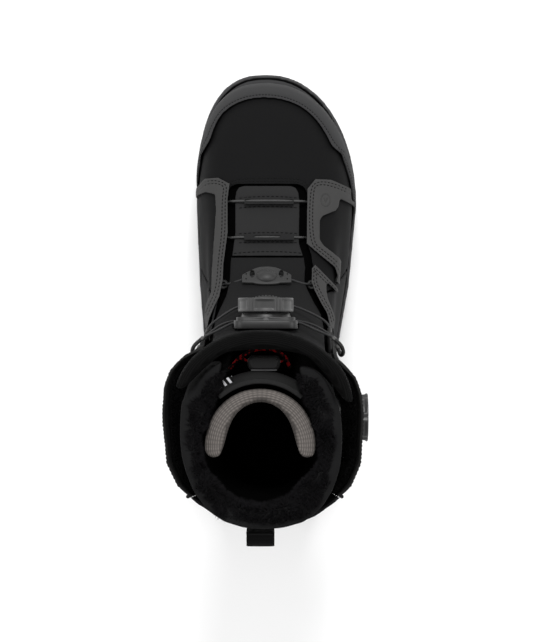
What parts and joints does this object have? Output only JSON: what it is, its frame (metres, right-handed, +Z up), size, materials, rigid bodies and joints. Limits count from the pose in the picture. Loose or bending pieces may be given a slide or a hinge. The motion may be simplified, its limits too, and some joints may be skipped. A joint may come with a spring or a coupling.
{
  "type": "snowboard boot",
  "caption": "Right snowboard boot with a padded liner, a folding shell tongue and two cable dials, one on the tongue and one on the outer cuff.",
  "frame": {"origin": "on the ground under the middle of the sole", "axes": "+Y towards the toe, +X towards the outer side of the foot, +Z up"},
  "size_m": [0.1303, 0.3166, 0.285],
  "materials": {
    "outsole_rubber": "matte moulded rubber",
    "foam": "matte foam",
    "black_textile": "matte coated textile",
    "grey_leather": "fine-grained, satin",
    "dark_leather": "fine-grained, matte",
    "collar_knit": "fine ribbed knit",
    "grey_knit": "woven knit",
    "fur": "short faux fur",
    "dark_plastic": "satin moulded plastic",
    "grip_rubber": "matte",
    "steel": "plain",
    "cable": "braided, matte",
    "lace": "black cord flecked with red"
  },
  "bodies": {
    "shell": {"outsole": "outsole_rubber", "midsole": "foam", "lasting_board": "foam", "vamp": "black_textile", "medial_quarter": "dark_leather", "lateral_quarter": "dark_leather", "toe_cap": "outsole_rubber", "medial_eyestay": "grey_leather", "lateral_eyestay_lower": "grey_leather", "lateral_eyestay_upper": "grey_leather", "heel_counter": "dark_leather", "medial_cuff_wing": "dark_leather", "lateral_cuff_wing": "dark_leather", "rear_cuff": "dark_leather", "medial_fleece": "fur", "lateral_fleece": "fur", "lower_tongue": "black_textile", "throat_gaiter": "black_textile", "cable_tunnel_front": "grey_leather", "cable_tunnel_rear": "grey_leather", "instep_cable": "cable", "cuff_cable": "cable", "liner_forefoot": "black_textile", "liner_shaft": "black_textile", "liner_sole": "foam", "liner_cuff": "fur", "liner_collar_pad": "grey_knit", "liner_tongue": "black_textile", "footbed": "foam", "liner_lace": "lace", "liner_label": "black_textile", "side_dial_housing": "dark_plastic"},
    "tongue": {"upper_tongue": "black_textile", "tongue_collar": "collar_knit", "tongue_guide_front": "dark_plastic", "tongue_guide_rear": "dark_plastic", "tongue_dial_housing": "dark_plastic"},
    "tongue_winder": {"tongue_dial_spool": "dark_plastic", "tongue_dial_drive_disc": "steel", "tongue_dial_screw": "steel"},
    "tongue_knob": {"tongue_dial_knob": "dark_plastic", "tongue_dial_grip_ring": "grip_rubber"},
    "side_winder": {"side_dial_spool": "dark_plastic", "side_dial_drive_disc": "steel", "side_dial_screw": "steel"},
    "side_knob": {"side_dial_knob": "dark_plastic", "side_dial_grip_ring": "grip_rubber"},
    "heel_loop": {"heel_loop": "black_textile"},
    "cord_lock": {"cord_lock_body": "dark_plastic", "cord_lock_spring": "steel"},
    "cord_button": {"cord_lock_button": "dark_plastic"}
  },
  "joints": [
    {"name": "tongue_fold", "type": "hinge", "parent": "shell", "child": "tongue", "pos_m": [0, 0.021, 0.129], "axis": [-1, 0, 0], "range_deg": [0, 22], "deforming": ["instep_cable", "cuff_cable"]},
    {"name": "tongue_dial_turn", "type": "hinge", "parent": "tongue", "child": "tongue_winder", "pos_m": [-0.0005, -0.027, 0.195], "axis": [0, 1, 0], "continuous": true},
    {"name": "tongue_dial_pull", "type": "slide", "parent": "tongue_winder", "child": "tongue_knob", "axis": [0, 1, 0], "range_m": [0, 0.0025]},
    {"name": "side_dial_turn", "type": "hinge", "parent": "shell", "child": "side_winder", "pos_m": [0.0452, -0.084, 0.184], "axis": [1, 0, 0], "continuous": true},
    {"name": "side_dial_pull", "type": "slide", "parent": "side_winder", "child": "side_knob", "axis": [1, 0, 0], "range_m": [0, 0.0025]},
    {"name": "heel_loop_lift", "type": "hinge", "parent": "shell", "child": "heel_loop", "pos_m": [-0.0037, -0.1532, 0.197], "axis": [1, 0, 0], "range_deg": [0, 40]},
    {"name": "cord_lock_slide", "type": "slide", "parent": "shell", "child": "cord_lock", "axis": [0, 0, 1], "range_m": [0, 0.012]},
    {"name": "cord_lock_press", "type": "slide", "parent": "cord_lock", "child": "cord_button", "axis": [0, 0, -1], "range_m": [0, 0.0026], "stiffness_N_per_m": 400, "springref_m": -0.001, "deforming": ["cord_lock_spring"]}
  ]
}
